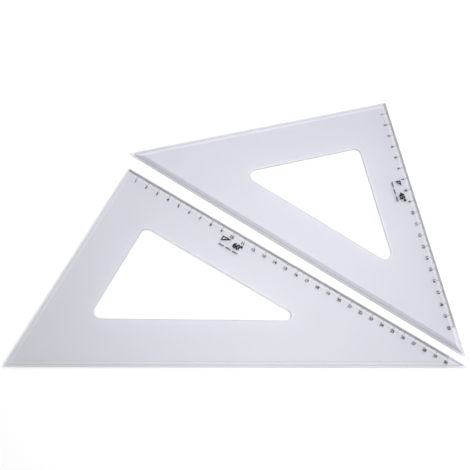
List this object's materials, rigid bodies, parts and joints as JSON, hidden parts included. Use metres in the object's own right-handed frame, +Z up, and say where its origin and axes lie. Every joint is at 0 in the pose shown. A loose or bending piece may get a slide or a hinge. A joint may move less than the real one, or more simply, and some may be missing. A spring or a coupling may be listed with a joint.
{
  "type": "set square pair",
  "caption": "Clear drafting set squares, a 30-60-90 and a 45-45-90 triangle side by side, each with a triangular window and a printed scale on one edge, for ruling lines and angles.",
  "frame": {"origin": "middle of the pair's outline, on the drawing board under both plates", "axes": "+X along the scaled edge of the 30-60-90 square, in the direction its scale counts; +Y from that square towards the 45-45-90 square; +Z up from the board"},
  "size_m": [0.3244, 0.3522, 0.003],
  "materials": {
    "clear_plastic": "clear moulded plastic with a faint lavender cast, glossy, with fine handling marks",
    "printed_ink": "matt near-black screen-printed ink"
  },
  "bodies": {
    "set_square_60": {"plate_60": "clear_plastic", "scale_60": "printed_ink", "pictogram_60": "printed_ink", "underline_60": "printed_ink"},
    "set_square_45": {"plate_45": "clear_plastic", "scale_45": "printed_ink", "pictogram_45": "printed_ink", "underline_45": "printed_ink"}
  },
  "joints": [
    {"name": "guide_slide", "type": "slide", "parent": "set_square_60", "child": "set_square_45", "axis": [1, 0, 0], "range_m": [-0.16, 0.16]}
  ]
}
